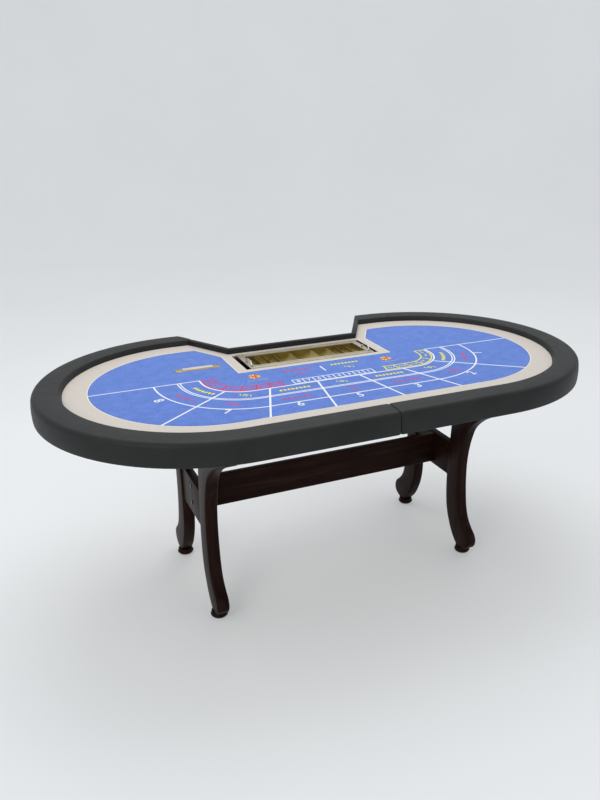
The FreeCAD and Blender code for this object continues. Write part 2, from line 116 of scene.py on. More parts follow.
def ease(width, segments=2, wanted=is_sharp):
    """Rounds the wanted edges of the piece in hand."""
    pick("EDGE", wanted)
    bevel(width, segments)
    bpy.ops.object.mode_set(mode="OBJECT")


def pull(x=0.0, y=0.0, z=0.0):
    """Extrudes what is selected by that much."""
    bpy.ops.mesh.extrude_region_move(TRANSFORM_OT_translate={"value": (x, y, z)})


def slab(low, high, turn=0.0):
    """A block between two corners, turned about its own middle."""
    nothing_selected()
    size = [b - a for a, b in zip(low, high)]
    centre = [(a + b) / 2 for a, b in zip(low, high)]
    bpy.ops.mesh.primitive_cube_add(size=1, location=centre, rotation=(0, 0, turn), scale=size)
    return settle()


def tidy(piece):
    """Merges doubled points and turns the faces outward."""
    only(piece)
    bpy.ops.object.mode_set(mode="EDIT")
    bpy.ops.mesh.select_all(action="SELECT")
    bpy.ops.mesh.remove_doubles(threshold=1e-6)
    bpy.ops.mesh.normals_make_consistent(inside=False)
    bpy.ops.object.mode_set(mode="OBJECT")


def joined(pieces):
    nothing_selected()
    for p in pieces:
        p.select_set(True)
    bpy.context.view_layer.objects.active = pieces[0]
    bpy.ops.object.join()
    return bpy.context.object


def thicken(piece, thickness, offset=-1):
    only(piece)
    wall = piece.modifiers.new("wall", "SOLIDIFY")
    wall.thickness, wall.offset = thickness, offset
    bpy.ops.object.modifier_apply(modifier=wall.name)


def cut_out(piece, tool):
    """Cuts the tool's shape out of the piece, then removes the tool."""
    only(piece)
    cut = piece.modifiers.new("cut", "BOOLEAN")
    cut.operation, cut.object, cut.solver = "DIFFERENCE", tool, "EXACT"
    bpy.ops.object.modifier_apply(modifier=cut.name)
    bpy.data.objects.remove(tool)


def copied(piece, flip_x=False, flip_y=False, shift=(0, 0, 0)):
    """A copy with its own mesh, mirrored or moved."""
    only(piece)
    bpy.ops.object.duplicate()
    twin = bpy.context.object
    twin.scale = (-1 if flip_x else 1, -1 if flip_y else 1, 1)
    twin.location = shift
    settle()
    if flip_x != flip_y:
        tidy(twin)
    return twin


def fitted(piece, name, finish, body="table", stands_for=(), smooth=35):
    """Names the finished piece, gives it its finish and fixes it to the table."""
    only(piece)
    bpy.ops.object.shade_smooth_by_angle(angle=math.radians(smooth))
    piece.name = piece.data.name = name
    piece.data.materials.clear()
    piece.data.materials.append(finish)
    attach(piece, body)
    if stands_for:
        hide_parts(*stands_for)
    return piece


# ---------------------------------------------------------------- finishes
class Finish:
    """A material under construction: its shader and the nodes that feed it."""

    def __init__(self, name, color, roughness, metallic=0.0, specular=0.5):
        self.made = bpy.data.materials.new(name)
        self.made.use_nodes = True
        self.nodes, self.links = self.made.node_tree.nodes, self.made.node_tree.links
        self.shader = self.nodes["Principled BSDF"]
        self.shader.inputs["Base Color"].default_value = (*color, 1)
        self.shader.inputs["Roughness"].default_value = roughness
        self.shader.inputs["Metallic"].default_value = metallic
        self.shader.inputs["Specular IOR Level"].default_value = specular
        self.place = self.nodes.new("ShaderNodeTexCoord").outputs["Object"]
        self.bump_before = None

    def stretched(self, scale, turn=(0, 0, 0)):
        node = self.nodes.new("ShaderNodeMapping")
        node.inputs["Scale"].default_value = scale
        node.inputs["Rotation"].default_value = turn
        self.links.new(self.place, node.inputs["Vector"])
        return node.outputs["Vector"]

    def noise(self, scale, detail=4.0, rough=0.55, at=None, twist=0.0):
        node = self.nodes.new("ShaderNodeTexNoise")
        node.inputs["Scale"].default_value = scale
        node.inputs["Detail"].default_value = detail
        node.inputs["Roughness"].default_value = rough
        node.inputs["Distortion"].default_value = twist
        self.links.new(at or self.place, node.inputs["Vector"])
        return node.outputs["Fac"]

    def cells(self, scale, feature="F1", at=None):
        node = self.nodes.new("ShaderNodeTexVoronoi")
        node.feature = feature
        node.inputs["Scale"].default_value = scale
        self.links.new(at or self.place, node.inputs["Vector"])
        return node.outputs["Distance"]

    def rings(self, scale, twist, at, direction="X"):
        node = self.nodes.new("ShaderNodeTexWave")
        node.bands_direction = direction
        node.inputs["Scale"].default_value = scale
        node.inputs["Distortion"].default_value = twist
        node.inputs["Detail"].default_value = 3
        node.inputs["Detail Scale"].default_value = 1.6
        self.links.new(at, node.inputs["Vector"])
        return node.outputs["Fac"]

    def blend(self, factor, stops):
        """Colour ramp over a factor; stops are (position, colour)."""
        node = self.nodes.new("ShaderNodeValToRGB")
        ramp = node.color_ramp
        ramp.elements[0].position, ramp.elements[1].position = stops[0][0], stops[-1][0]
        ramp.elements[0].color = (*stops[0][1], 1)
        ramp.elements[1].color = (*stops[-1][1], 1)
        for position, color in stops[1:-1]:
            ramp.elements.new(position).color = (*color, 1)
        self.links.new(factor, node.inputs["Fac"])
        return node.outputs["Color"]

    def color(self, socket):
        self.links.new(socket, self.shader.inputs["Base Color"])

    def mixed(self, factor, first, second, mode="MIX"):
        node = self.nodes.new("ShaderNodeMix")
        node.data_type, node.blend_type = "RGBA", mode
        for value, slot in ((factor, 0), (first, 6), (second, 7)):
            if hasattr(value, "is_linked"):
                self.links.new(value, node.inputs[slot])
            else:
                node.inputs[slot].default_value = value
        return node.outputs[2]

    def rough(self, factor, low, high):
        node = self.nodes.new("ShaderNodeMapRange")
        node.inputs["To Min"].default_value = low
        node.inputs["To Max"].default_value = high
        self.links.new(factor, node.inputs["Value"])
        self.links.new(node.outputs["Result"], self.shader.inputs["Roughness"])

    def bump(self, height, strength, depth):
        node = self.nodes.new("ShaderNodeBump")
        node.inputs["Strength"].default_value = strength
        node.inputs["Distance"].default_value = depth
        self.links.new(height, node.inputs["Height"])
        if self.bump_before:
            self.links.new(self.bump_before, node.inputs["Normal"])
        self.bump_before = node.outputs["Normal"]
        self.links.new(self.bump_before, self.shader.inputs["Normal"])

    def also(self, **sockets):
        for name, value in sockets.items():
            self.shader.inputs[name.replace("_", " ")].default_value = value
        return self


def leather():
    """Black coated leather with a fine pebbled grain."""
    f = Finish("black leather", (0.014, 0.014, 0.0145), 0.55, specular=0.26)
    f.color(f.blend(f.noise(9, 3), [(0.3, (0.0105, 0.0105, 0.0105)), (0.7, (0.0150, 0.0150, 0.0150))]))
    f.rough(f.noise(35, 4), 0.46, 0.60)
    f.bump(f.noise(14, 2), 0.15, 0.0016)
    f.bump(f.cells(620, "SMOOTH_F1"), 0.30, 0.0003)
    return f.made


def playing_cloth():
    """Blue speed cloth: tight twill with a short nap."""
    f = Finish("blue cloth", (0.14, 0.26, 0.70), 0.88, specular=0.25)
    fleck = f.blend(f.noise(700, 3, 0.7), [(0.30, (0.075, 0.172, 0.545)), (0.70, (0.135, 0.250, 0.690))])
    cloud = f.blend(f.noise(26, 4, 0.65), [(0.30, (0.74, 0.79, 0.87)), (0.70, (1.04, 1.03, 1.02))])
    speck = f.blend(f.noise(150, 2, 0.6), [(0.34, (0.82, 0.85, 0.92)), (0.66, (1.08, 1.06, 1.03))])
    f.color(f.mixed(1.0, f.mixed(1.0, fleck, cloud, "MULTIPLY"), speck, "MULTIPLY"))
    f.bump(f.rings(430, 0.4, f.stretched((1, 1, 1), (0, 0, math.radians(45)))), 0.18, 0.0002)
    f.bump(f.noise(1500, 2), 0.25, 0.0002)
    f.also(Sheen_Weight=0.15, Sheen_Roughness=0.5)
    return f.made


def print_ink(name, color):
    """Ink printed into the nap of the cloth."""
    f = Finish(name, color, 0.85, specular=0.25)
    worn = [tuple(c * 0.86 for c in color), color]
    f.color(f.blend(f.noise(620, 3, 0.7), [(0.32, worn[0]), (0.62, worn[1])]))
    f.bump(f.noise(1500, 2), 0.25, 0.0002)
    return f.made


def laminate():
    """Warm cream laminate with a faint linen fleck."""
    f = Finish("cream laminate", (0.59, 0.54, 0.48), 0.42)
    fleck = f.blend(f.noise(240, 4, 0.6), [(0.35, (0.560, 0.505, 0.450)), (0.65, (0.620, 0.568, 0.508))])
    f.color(fleck)
    f.rough(f.noise(60, 3), 0.38, 0.50)
    f.bump(f.noise(520, 2), 0.10, 0.0001)
    return f.made


def inlay():
    f = Finish("pale yellow inlay", (0.90, 0.84, 0.60), 0.38)
    f.color(f.blend(f.noise(90, 3), [(0.3, (0.84, 0.76, 0.50)), (0.7, (0.93, 0.87, 0.64))]))
    f.bump(f.noise(400, 2), 0.08, 0.0001)
    return f.made


def metal(name, dark, light, low, high, grain=(900, 12, 900), metallic=1.0):
    """Metal brushed along one way, with small changes of tone."""
    f = Finish(name, light, low, metallic)
    brush = f.noise(1.0, 3, 0.6, f.stretched(grain))
    f.color(f.blend(f.noise(18, 4), [(0.3, dark), (0.7, light)]))
    f.rough(brush, low, high)
    f.bump(brush, 0.10, 0.0001)
    return f.made


def wood(name, dark, mid, light, axis, low=0.34, high=0.48, grain=1.0):
    """Straight-grained wood; the grain runs along the axis (0 x, 1 y, 2 z)."""
    def run_along(slow, fine):
        return f.stretched([slow if k == axis else fine for k in range(3)])

    f = Finish(name, mid, low, specular=0.05)
    figure = f.noise(1.6, 6, 0.62, run_along(1.3, 26 * grain), 0.8)
    pores = f.noise(1.0, 3, 0.7, run_along(18, 620))
    stain = f.noise(5.0, 3, 0.5, run_along(1.0, 1.8))
    base = f.blend(figure, [(0.30, dark), (0.52, mid), (0.74, light)])
    shade = f.blend(pores, [(0.38, (0.62, 0.62, 0.62)), (0.52, (1.0, 1.0, 1.0))])
    cloudy = f.blend(stain, [(0.32, (0.66, 0.62, 0.60)), (0.68, (1.10, 1.05, 1.02))])
    f.color(f.mixed(1.0, f.mixed(0.8, base, shade, "MULTIPLY"), cloudy, "MULTIPLY"))
    f.rough(figure, low, high)
    f.bump(pores, 0.16, 0.0003)
    f.bump(figure, 0.08, 0.0006)
    return f


def painted(name, color, low, high, size=300, depth=0.00012):
    """Plain paint or moulded plastic with a fine skin."""
    f = Finish(name, color, low)
    f.color(f.blend(f.noise(20, 3), [(0.3, tuple(c * 0.86 for c in color)), (0.7, color)]))
    f.rough(f.noise(50, 3), low, high)
    f.bump(f.noise(size, 3), 0.15, depth)
    return f.made


QUARTER = math.pi / 2
LEATHER = leather()
CLOTH = playing_cloth()
WHITE_INK = print_ink("white ink", (0.84, 0.86, 0.90))
RED_INK = print_ink("red ink", (0.80, 0.025, 0.045))
YELLOW_INK = print_ink("yellow ink", (0.86, 0.80, 0.035))
ORANGE_INK = print_ink("orange ink", (0.78, 0.22, 0.03))
FAINT_INK = print_ink("faint yellow ink", (0.62, 0.64, 0.42))
ROSE_INK = print_ink("rose ink", (0.62, 0.07, 0.20))
LAMINATE = laminate()
INLAY = inlay()
CHAMPAGNE = metal("champagne metal", (0.47, 0.42, 0.33), (0.58, 0.53, 0.42), 0.34, 0.46)
GOLD = metal("gold metal", (0.25, 0.19, 0.052), (0.40, 0.32, 0.105), 0.26, 0.38, metallic=0.9)
CHROME = metal("chrome wire", (0.66, 0.66, 0.68), (0.80, 0.80, 0.82), 0.10, 0.20)
ZINC = metal("zinc steel", (0.46, 0.46, 0.49), (0.64, 0.64, 0.66), 0.34, 0.52)
BRASS = metal("satin brass", (0.50, 0.37, 0.16), (0.68, 0.53, 0.27), 0.26, 0.38, (12, 900, 900))
BRONZE = metal("bronze caps", (0.045, 0.032, 0.024), (0.075, 0.052, 0.036), 0.35, 0.5, metallic=0.6)
ACRYLIC = painted("pale acrylic", (0.64, 0.58, 0.48), 0.16, 0.26, 80, 0.00005)
BLACK_PAINT = painted("black paint", (0.018, 0.018, 0.019), 0.45, 0.62)
GLIDE = painted("grey glide", (0.15, 0.15, 0.15), 0.5, 0.65)
WALNUT = ((0.0090, 0.0038, 0.0026), (0.0190, 0.0084, 0.0060), (0.0340, 0.0155, 0.0110))
WALNUT_LONG = wood("dark walnut along", *WALNUT, 0).made
WALNUT_ACROSS = wood("dark walnut across", *WALNUT, 1).made
WALNUT_UP = wood("dark walnut upright", *WALNUT, 2).made
PLY = wood("plywood", (0.42, 0.29, 0.16), (0.56, 0.41, 0.25), (0.66, 0.50, 0.33), 0, 0.55, 0.7, 0.5).made


# ---------------------------------------------------------------- padded armrest
def bay_edge_x(y, inset=0.0):
    """X of the bay's sloping side at y, moved into the table by inset."""
    side = inset * (1 - math.cos(BAY_SLOPE)) / math.sin(BAY_SLOPE)
    return BAY_X + side + (y - BAY_Y + inset) / math.tan(BAY_SLOPE)


def rounded(centre, radius, start, end, steps):
    """Points on an arc, as (radius, height), angles in degrees."""
    turns = [math.radians(start + (end - start) * k / steps) for k in range(steps + 1)]
    return [(centre[0] + radius * math.cos(t), centre[1] + radius * math.sin(t)) for t in turns]


def crowned(a, b, rise, steps):
    """Points strictly between a and b, lifted to a shallow crown on the left of the run."""
    run = Vector(b) - Vector(a)
    side = Vector((-run.y, run.x)).normalized()
    points = []
    for k in range(1, steps):
        t = k / steps
        p = Vector(a) + run * t + side * rise * (1 - (2 * t - 1) ** 2)
        points.append((p.x, p.y))
    return points


def armrest_section():
    """Leather over foam, seen along the armrest, as (distance from the axis, height)."""
    top = REST_TOP - 0.0012
    inner = rounded((INNER_R + 0.0135, top - 0.006), 0.006, 158, 90, 5)
    outer = rounded((OUTER_R - 0.0190, top - 0.0180), 0.0180, 90, 2, 9)
    low = rounded((OUTER_R - 0.0056, REST_LOW + 0.005), 0.005, 0, -90, 4)
    foot, lip = INNER_R + 0.0002, OUTER_R - 0.047
    path = [(foot, DECK_LOW), (foot, PLAY_Z - 0.002)] + crowned((foot, PLAY_Z - 0.002), inner[0], 0.0004, 4)
    path += inner + crowned(inner[-1], outer[0], 0.0013, 10) + outer
    path += crowned(outer[-1], low[0], 0.0017, 8) + low
    path += [(lip, REST_LOW), (lip - 0.001, REST_LOW + 0.001), (lip - 0.001, REST_LOW + 0.0042)]
    return path + [(INNER_R + 0.0042, REST_LOW + 0.0042), (INNER_R + 0.0042, DECK_LOW)]


def armrest_path():
    """Stations from the front joint round the right end to the bay: (where, how far along)."""
    lead = [0.0, 0.0006, 0.0018, 0.004, 0.008, 0.014]
    straight = [("front", SEAM_X + 0.0003 + d) for d in lead]
    straight += [("front", SEAM_X + 0.02 + (END_X - SEAM_X - 0.02) * k / 34) for k in range(34)]
    end = [("end", math.radians(-90 + 180 * k / 64)) for k in range(65)]
    back = [("back", k / 8) for k in range(1, 8)] + [("back", t) for t in (0.94, 0.97, 0.985, 0.995, 1.0)]
    return straight + end + back


def armrest_pad(side):
    """One half of the armrest, its ends rolled in where they meet the joint and the bay."""
    section = armrest_section()
    centre = Vector((OUTER_R - 0.046, 0.79))
    stations = armrest_path()
    points = []
    for i, (where, t) in enumerate(stations):
        roll = {0: 0.0056, 1: 0.0036, 2: 0.0022, 3: 0.0010, 4: 0.0003}.get(i, 0.0)
        roll += {0: 0.0020, 1: 0.0010, 2: 0.0004}.get(len(stations) - 1 - i, 0.0)
        for r, z in section:
            inward = (centre - Vector((r, z))).normalized() * roll
            shown = r > INNER_R + 0.0045 or z > PLAY_Z
            r2, z2 = (r + inward.x, z + inward.y) if shown else (r, z)
            if where == "front":
                p = (t, -r2, z2)
            elif where == "end":
                p = (END_X + r2 * math.cos(t), r2 * math.sin(t), z2)
            else:
                p = (END_X + (bay_edge_x(r2) - END_X) * t, r2, z2)
            points.append(Vector(p))
    if side < 0:
        shift = 2 * SEAM_X
        for i, p in enumerate(points):
            share = max(0.0, 1 - (p.x - SEAM_X) / 0.3) if p.y < -0.3 else 0.0
            p.x = -(p.x - shift * share)
    n, m = len(section), len(stations)
    faces = [(i * n + j, i * n + (j + 1) % n, (i + 1) * n + (j + 1) % n, (i + 1) * n + j)
             for i in range(m - 1) for j in range(n)]
    faces += [tuple(range(n))[::-1], tuple(range((m - 1) * n, m * n))]
    shape = bpy.data.meshes.new("armrest")
    shape.from_pydata([tuple(p) for p in points], [], faces)
    piece = bpy.data.objects.new("armrest", shape)
    bpy.context.scene.collection.objects.link(piece)
    tidy(piece)
    label = "left" if side < 0 else "right"
    fitted(piece, "armrest_" + label, LEATHER, "table", ["armrest_pad_" + label], 50)
    return piece


def bay_rails():
    """Three leather-wrapped boards round the bay, mitred at the back corners."""
    mitre = Vector((bay_edge_x(BAY_Y - RAIL, RAIL) - BAY_X, -RAIL, 0)).normalized()
    across = Vector((mitre.y, -mitre.x, 0))
    corner = Vector((BAY_X, BAY_Y, 0))
    half_gap = 0.0003

    back = slab((-0.31, BAY_Y - RAIL, REST_LOW), (0.31, BAY_Y, REST_TOP - 0.0004))
    for s in (1, -1):
        pick("FACE", lambda f: True)
        bpy.ops.mesh.bisect(plane_co=(s * (corner.x - half_gap), corner.y, 0),
                            plane_no=(s * across.x, across.y, 0), use_fill=True,
                            clear_outer=across.x > 0, clear_inner=across.x < 0)
        bpy.ops.object.mode_set(mode="OBJECT")
    rails = [(back, "back", ["bay_rail_back"])]

    run = 0.265
    slope = Vector((math.cos(BAY_SLOPE), math.sin(BAY_SLOPE), 0))
    inward = Vector((math.sin(BAY_SLOPE), -math.cos(BAY_SLOPE), 0))
    mid = corner + slope * (run / 2 - 0.03) + inward * RAIL / 2
    for s, label in ((1, "right"), (-1, "left")):
        nothing_selected()
        bpy.ops.mesh.primitive_cube_add(
            size=1, location=(s * mid.x, mid.y, (REST_TOP + REST_LOW) / 2 - 0.0002),
            rotation=(0, 0, s * BAY_SLOPE), scale=(run, RAIL, REST_TOP - REST_LOW - 0.0004))
        side = settle()
        pick("FACE", lambda f: True)
        bpy.ops.mesh.bisect(plane_co=(s * (corner.x + half_gap), corner.y, 0),
                            plane_no=(s * across.x, across.y, 0), use_fill=True,
                            clear_outer=across.x < 0, clear_inner=across.x > 0)
        bpy.ops.mesh.select_all(action="SELECT")
        bpy.ops.mesh.bisect(plane_co=(0, INNER_R + 0.003, 0), plane_no=(0, 1, 0), use_fill=True,
                            clear_outer=True)
        bpy.ops.object.mode_set(mode="OBJECT")
        rails.append((side, label, ["bay_rail_" + label]))

    for piece, label, nodes in rails:
        only(piece)
        ease(0.0052, 4, lambda e: is_sharp(e) and min(v.co.z for v in e.verts) > REST_TOP - 0.002
             and (e.verts[0].co - e.verts[1].co).length > 0.1)
        ease(0.0011, 2, lambda e: is_sharp(e, 60))
        tidy(piece)
        fitted(piece, "bay_rail_wrap_" + label, LEATHER, "table", nodes, 50)


# ---------------------------------------------------------------- cloth and its print
CLOTH_THICK = 0.0038          # with its underlay
INK_THICK = 0.00022
PRINT_Z = PLAY_Z - 0.0001
PRINT_SHIFT = -0.005          # the whole print sits a little left of the table's middle
ARC_X = 0.326                 # centres of the print's round ends
STEP = 0.00001                # crossing lines sit a step or two apart in height


def stadium_outline(radius, steps=64):
    points = []
    for side, start in ((1, -90), (-1, 90)):
        for k in range(steps + 1):
            t = math.radians(start + 180 * k / steps)
            points.append((side * END_X + radius * math.cos(t), radius * math.sin(t)))
    return points


def cloth_sheet():
    """The cloth, cut round the bay and the tray, with a hole where the slot plate is let in."""
    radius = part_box("cloth")[1].x - END_X
    tray_side, tray_front = SURROUND_HALF + TRIM_HALF, SURROUND_FRONT - TRIM_HALF
    inset = RAIL + BAY_BAND + TRIM_HALF
    corner_y = BAY_Y - inset
    rise = (tray_side - bay_edge_x(corner_y, inset)) * math.tan(BAY_SLOPE)
    notch = [(bay_edge_x(radius, inset), radius), (tray_side, corner_y + rise), (tray_side, tray_front)]
    outline = stadium_outline(radius)
    right_end = len(outline) // 2
    outline = outline[:right_end] + notch + [(-x, y) for x, y in notch[::-1]] + outline[right_end:]
    shape = bpy.data.meshes.new("cloth")
    top = PLAY_Z - 0.0001
    shape.from_pydata([(x, y, top) for x, y in outline], [], [tuple(range(len(outline)))])
    sheet = bpy.data.objects.new("cloth", shape)
    bpy.context.scene.collection.objects.link(sheet)
    thicken(sheet, CLOTH_THICK)
    plate_low, plate_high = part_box("slot_plate")
    hole = slab((plate_low.x, plate_low.y, PLAY_Z - 0.01), (plate_high.x, plate_high.y, PLAY_Z + 0.01))
    ease(0.004, 4, lambda e: along(e, 2))
    cut_out(sheet, hole)
    return sheet


def line(a, b, width, height=0.0):
    """A straight printed line."""
    nothing_selected()
    run = Vector(b) - Vector(a)
    middle_point = (Vector(a) + Vector(b)) / 2
    bpy.ops.mesh.primitive_plane_add(size=1, location=(middle_point.x, middle_point.y, PRINT_Z + height),
                                     rotation=(0, 0, math.atan2(run.y, run.x)))
    return settle((run.length, width, 1))


def hooked_line(radius, width, ends=0.033):
    """A printed line along the seats that hooks back round both ends."""
    nothing_selected()
    x = -ARC_X - radius
    bpy.ops.mesh.primitive_plane_add(size=1, location=(x, ends / 2, PRINT_Z))
    piece = settle((width, ends, 1))
    pick("EDGE", lambda e: middle(e).y < 1e-5)
    bpy.ops.mesh.spin(steps=28, angle=-QUARTER, center=(-ARC_X, 0, PRINT_Z), axis=(0, 0, 1))
    pull(2 * ARC_X)
    bpy.ops.mesh.spin(steps=28, angle=-QUARTER, center=(ARC_X, 0, PRINT_Z), axis=(0, 0, 1))
    pull(0, ends)
    bpy.ops.object.mode_set(mode="OBJECT")
    return piece


def lozenge(x, y, wide, tall, turn=0.0):
    """A four-cornered pip."""
    nothing_selected()
    bpy.ops.mesh.primitive_circle_add(vertices=4, radius=0.5, fill_type="NGON",
                                      location=(x, y, PRINT_Z + 2 * STEP), rotation=(0, 0, turn))
    return settle((wide, tall, 1))


def pip_row(centre, turn, count, step, wide, tall, bend=0.0):
    """A row of pips, straight or bent about a point bend metres inward."""
    pips = []
    for k in range(count):
        offset = (k - (count - 1) / 2) * step
        if bend:
            angle = offset / bend
            local = Vector((bend * math.sin(angle), bend * (1 - math.cos(angle))))
        else:
            angle, local = 0.0, Vector((offset, 0.0))
        local.rotate(Matrix.Rotation(turn, 2))
        lean = 0.35 if k % 2 else -0.35
        pips.append(lozenge(centre[0] + local.x, centre[1] + local.y, wide, tall, turn + angle + lean))
    return pips


def ornament(x, y, size, turn=0.0):
    """Four pips and a bar, for the plain marks between the rows."""
    marks = [lozenge(x + dx * size * 0.26, y + dy * size * 0.26, size * 0.34, size * 0.34, turn)
             for dx, dy in ((1, 0), (-1, 0), (0, 1), (0, -1))]
    ends = [Vector((-0.62, 0)), Vector((-0.62, 0.55)), Vector((0.62, 0)), Vector((0.62, -0.55))]
    for e in ends:
        e.rotate(Matrix.Rotation(turn, 2))
    for a, b in ((ends[0], ends[1]), (ends[2], ends[3])):
        marks.append(line((x + a.x * size, y + a.y * size), (x + b.x * size, y + b.y * size), size * 0.14))
    return marks


def digit(text, x, y, tall, turn=0.0):
    """A printed number, as a mesh."""
    nothing_selected()
    bpy.ops.object.text_add(location=(x, y, PRINT_Z + 2 * STEP), rotation=(0, 0, turn))
    label = bpy.context.object
    label.data.body, label.data.size = text, tall / 0.7
    label.data.align_x, label.data.align_y = "CENTER", "CENTER"
    label.data.offset = 0.0004
    bpy.ops.object.convert(target="MESH")
    return settle()


def disc(x, y, radius, sides=28, height=0.0):
    nothing_selected()
    bpy.ops.mesh.primitive_circle_add(vertices=sides, radius=radius, fill_type="NGON",
                                      location=(x, y, PRINT_Z + height))
    return settle()


def ink_layer(name, parts, ink, sheet_pieces, lift=0.0):
    """Joins printed parts into one thin raised layer."""
    piece = joined(parts)
    only(piece)
    piece.location = (PRINT_SHIFT, 0, lift)
    settle()
    tidy(piece)
    for f in piece.data.polygons:
        if f.normal.z < 0:
            f.flip()
    thicken(piece, INK_THICK, 1)
    sheet_pieces.append(fitted(piece, name, ink, smooth=20))


SEATS = {"8": (-0.656, -0.109), "7": (-0.475, -0.304), "6": (-0.230, -0.337), "5": (-0.008, -0.342),
         "3": (0.224, -0.341), "2": (0.478, -0.305), "1": (0.648, -0.099)}


def facing(x, y):
    """Turn of a mark that is read from outside the seats' line."""
    if abs(x) < ARC_X:
        return 0.0
    centre = math.copysign(ARC_X, x)
    return math.atan2(y, x - centre) + QUARTER


def on_band(radius, seat_x, degrees=None, side=1):
    """A place on a band: at seat_x on the straight, or at an angle round an end."""
    if degrees is None:
        return (seat_x, -radius)
    t = math.radians(degrees)
    return (side * (ARC_X + radius * math.cos(t)), radius * math.sin(t))


def to_edge(a, b):
    """Where the line from a through b meets the edge of the cloth, once the print is shifted."""
    a, b = Vector(a), Vector(b)
    near, far = 0.0, 1.6
    for _ in range(24):
        t = (near + far) / 2
        p = a + (b - a) * t
        if math.hypot(max(0.0, abs(p.x + PRINT_SHIFT) - END_X), p.y) < CLOTH_R - 0.0006:
            near = t
        else:
            far = t
    return tuple(a + (b - a) * near)


RAYS = (((0.085, -0.147), (0.130, -0.409)), ((0.270, -0.150), (0.364, -0.409)),
        ((0.427, -0.117), (0.703, -0.335)))


def white_print():
    parts = [hooked_line(0.149, 0.0065), hooked_line(0.2205, 0.0048), hooked_line(0.2300, 0.0048),
             hooked_line(0.315, 0.0060)]
    for s in (-1, 1):
        start = (s * (ARC_X + 0.1465), 0.033)
        parts.append(line(start, to_edge(start, (s * 0.8, 0.033)), 0.0055, 3 * STEP))
        for a, b in RAYS:
            start = (s * a[0], a[1])
            parts.append(line(start, to_edge(start, (s * b[0], b[1])), 0.0068, 4 * STEP))
    parts.append(line((-0.007, 0.008), (-0.007, -0.049), 0.006))
    left, right, low, high, count = -0.168, 0.157, -0.142, -0.101, 8
    step = (right - left) / count
    parts += [line((left, y), (right, y), 0.0045, 3 * STEP) for y in (low, high)]
    for k in range(count + 1):
        x = left + k * step
        parts.append(line((x, low), (x, high), 0.0040, 5 * STEP))
    for k in range(count):
        parts.append(digit(str(count - k), left + (k + 0.5) * step, (low + high) / 2, 0.020))
    for text, (x, y) in SEATS.items():
        parts.append(digit(text, x, y, 0.036, facing(x, y)))
    return parts


def end_strip(side):
    """The boxed strip inside the inner line at one end."""
    near, far, width = 0.097, 0.139, 0.0052
    parts = []
    for radius in (near, far):
        place = (side * (ARC_X + radius), 0.014, PRINT_Z + 4 * STEP)
        nothing_selected()
        bpy.ops.mesh.primitive_plane_add(size=1, location=place)
        piece = settle((width, 0.028, 1))
        pick("EDGE", lambda e: middle(e).y < 1e-5)
        bpy.ops.mesh.spin(steps=24, angle=side * QUARTER, center=(side * ARC_X, 0, PRINT_Z), axis=(0, 0, 1))
        pull(-side * 0.118)
        bpy.ops.object.mode_set(mode="OBJECT")
        parts.append(piece)
    for a, b in (((0.373, -0.128), (0.348, -0.090)), ((0.317, -0.139), (0.300, -0.097)),
                 ((0.262, -0.139), (0.255, -0.097)), ((0.207, -0.140), (0.216, -0.096)),
                 ((0.427, -0.094), (0.402, -0.061))):
        parts.append(line((side * a[0], a[1]), (side * b[0], b[1]), width, 6 * STEP))
    parts.append(line((side * (ARC_X + near), 0.028), (side * (ARC_X + far), 0.028), width, 6 * STEP))
    for x, y, turn in ((0.235, -0.118, 0), (0.284, -0.118, 0), (0.336, -0.118, 0.1),
                       (0.385, -0.101, 0.6), (0.437, -0.040, 1.2), (0.443, 0.004, 1.57)):
        parts += pip_row((side * x, y), side * turn, 3, 0.011, 0.007, 0.012)
    return parts


def red_print():
    return end_strip(-1)


def yellow_print():
    parts = end_strip(1)
    parts += pip_row((0.095, 0.006), 0, 8, 0.0150, 0.013, 0.019)
    parts += ornament(0.095, -0.040, 0.024)
    for x in (-0.190, 0.190):
        parts += pip_row(on_band(0.187, x), 0, 8, 0.0150, 0.013, 0.020)
    for side in (-1, 1):
        x, y = on_band(0.187, 0, -26, side)
        parts += pip_row((x, y), facing(x, y), 7, 0.0155, 0.013, 0.020, 0.187)
        x, y = on_band(0.185, 0, -76, side)
        parts += ornament(x, y, 0.028, facing(x, y))
    parts += ornament(-0.005, -0.185, 0.026)
    return parts


def rose_print():
    parts = pip_row((-0.105, 0.006), 0, 8, 0.0150, 0.013, 0.019)
    parts += ornament(-0.106, -0.040, 0.024)
    for x in (-0.216, 0.216):
        parts += pip_row(on_band(0.272, x), 0, 6, 0.0190, 0.014, 0.021)
    for side in (-1, 1):
        x, y = on_band(0.270, 0, -26, side)
        parts += pip_row((x, y), facing(x, y), 5, 0.0200, 0.014, 0.021, 0.270)
        x, y = on_band(0.270, 0, -66, side)
        parts += ornament(x, y, 0.034, facing(x, y))
    parts += ornament(0.0, -0.270, 0.030)
    return parts


ROSETTES = ((-0.277, -0.005), (0.270, -0.010))


def rosette_parts():
    """A red disc under yellow and orange petals, with a fine row of pips below it, twice."""
    red, yellow, orange, faint = [], [], [], []
    for x, y in ROSETTES:
        red.append(disc(x, y, 0.0190))
        orange.append(disc(x, y, 0.0045, 20, 0.0002))
        for k in range(9):
            t = math.radians(40 * k + 8)
            petal = lozenge(x + 0.0165 * math.cos(t), y + 0.0165 * math.sin(t), 0.0190, 0.0085, t)
            (orange if k % 3 == 1 else yellow).append(petal)
        faint += pip_row((x, -0.046), 0, 13, 0.0062, 0.0040, 0.0060)
    return red, yellow, orange, faint


